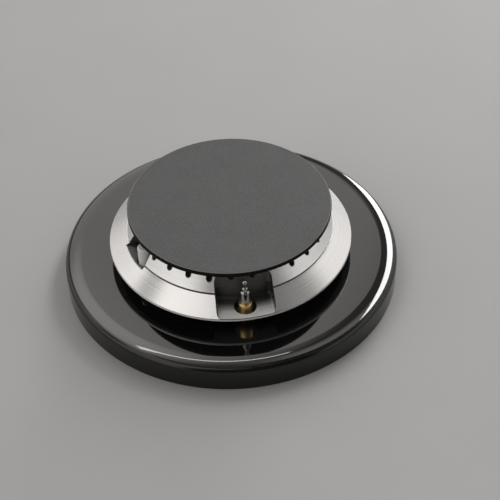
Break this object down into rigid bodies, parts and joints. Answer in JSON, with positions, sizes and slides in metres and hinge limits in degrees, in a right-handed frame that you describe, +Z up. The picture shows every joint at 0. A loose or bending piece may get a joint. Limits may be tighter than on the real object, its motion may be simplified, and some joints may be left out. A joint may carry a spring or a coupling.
{
  "type": "gas cooktop burner",
  "caption": "Round sealed gas cooktop burner: a matt cap on a slotted aluminium crown and sloping skirt, with spark electrode and flame sensor, on a glossy black dish.",
  "frame": {"origin": "centre of the ring on which the dish rests, in the worktop's surface", "axes": "+Z up along the burner's axis; -Y points to the front, where the flame sensor stands; +Y along the gas inlet"},
  "size_m": [0.1644, 0.1644, 0.072],
  "materials": {
    "cap_enamel": "matt vitreous enamel",
    "crown_casting": "blasted casting",
    "skirt_aluminium": "fine turned",
    "seat_steel": "plain stainless sheet",
    "dish_enamel": "glossy vitreous enamel",
    "gasket_rubber": "moulded silicone",
    "seal_sheet": "graphite-filled sheet",
    "screw_steel": "zinc plated",
    "cup_casting": "die cast, as cast",
    "jet_brass": "turned",
    "fitting_brass": "turned and milled",
    "washer_fibre": "vulcanised fibre",
    "sensor_brass": "polished",
    "probe_steel": "polished",
    "white_ceramic": "glazed",
    "terminal_steel": "tin plated",
    "spring_steel": "drawn wire"
  },
  "bodies": {
    "base": {"seat_ring": "seat_steel", "base_dish": "dish_enamel", "dish_gasket": "gasket_rubber", "cup_seal": "seal_sheet", "cup_screws": "screw_steel", "burner_cup": "cup_casting", "injector": "jet_brass", "inlet_nipple": "fitting_brass", "inlet_seal": "washer_fibre", "olive": "fitting_brass", "compression_nut": "fitting_brass", "thermocouple_body": "sensor_brass", "thermocouple_tip": "probe_steel", "thermocouple_nut": "fitting_brass", "thermocouple_ferrule": "screw_steel", "electrode_spring": "spring_steel", "electrode_clip": "spring_steel", "earth_tab": "terminal_steel", "earth_screw": "screw_steel"},
    "skirt": {"skirt_ring": "skirt_aluminium"},
    "crown": {"flame_crown": "crown_casting", "venturi_tube": "cup_casting"},
    "cap": {"burner_cap": "cap_enamel"},
    "electrode": {"electrode_ceramic": "white_ceramic", "electrode_pin": "probe_steel", "electrode_terminal": "terminal_steel"}
  },
  "joints": [
    {"name": "skirt_lift", "type": "slide", "parent": "base", "child": "skirt", "axis": [0, 0, 1], "range_m": [0, 0.04]},
    {"name": "crown_lift", "type": "slide", "parent": "skirt", "child": "crown", "axis": [0, 0, 1], "range_m": [0, 0.03]},
    {"name": "cap_lift", "type": "slide", "parent": "crown", "child": "cap", "axis": [0, 0, 1], "range_m": [0, 0.02]},
    {"name": "electrode_press", "type": "slide", "parent": "base", "child": "electrode", "axis": [0, 0, 1], "range_m": [-0.003, 0], "stiffness_N_per_m": 400, "springref_m": 0.005, "deforming": ["electrode_spring"]}
  ]
}
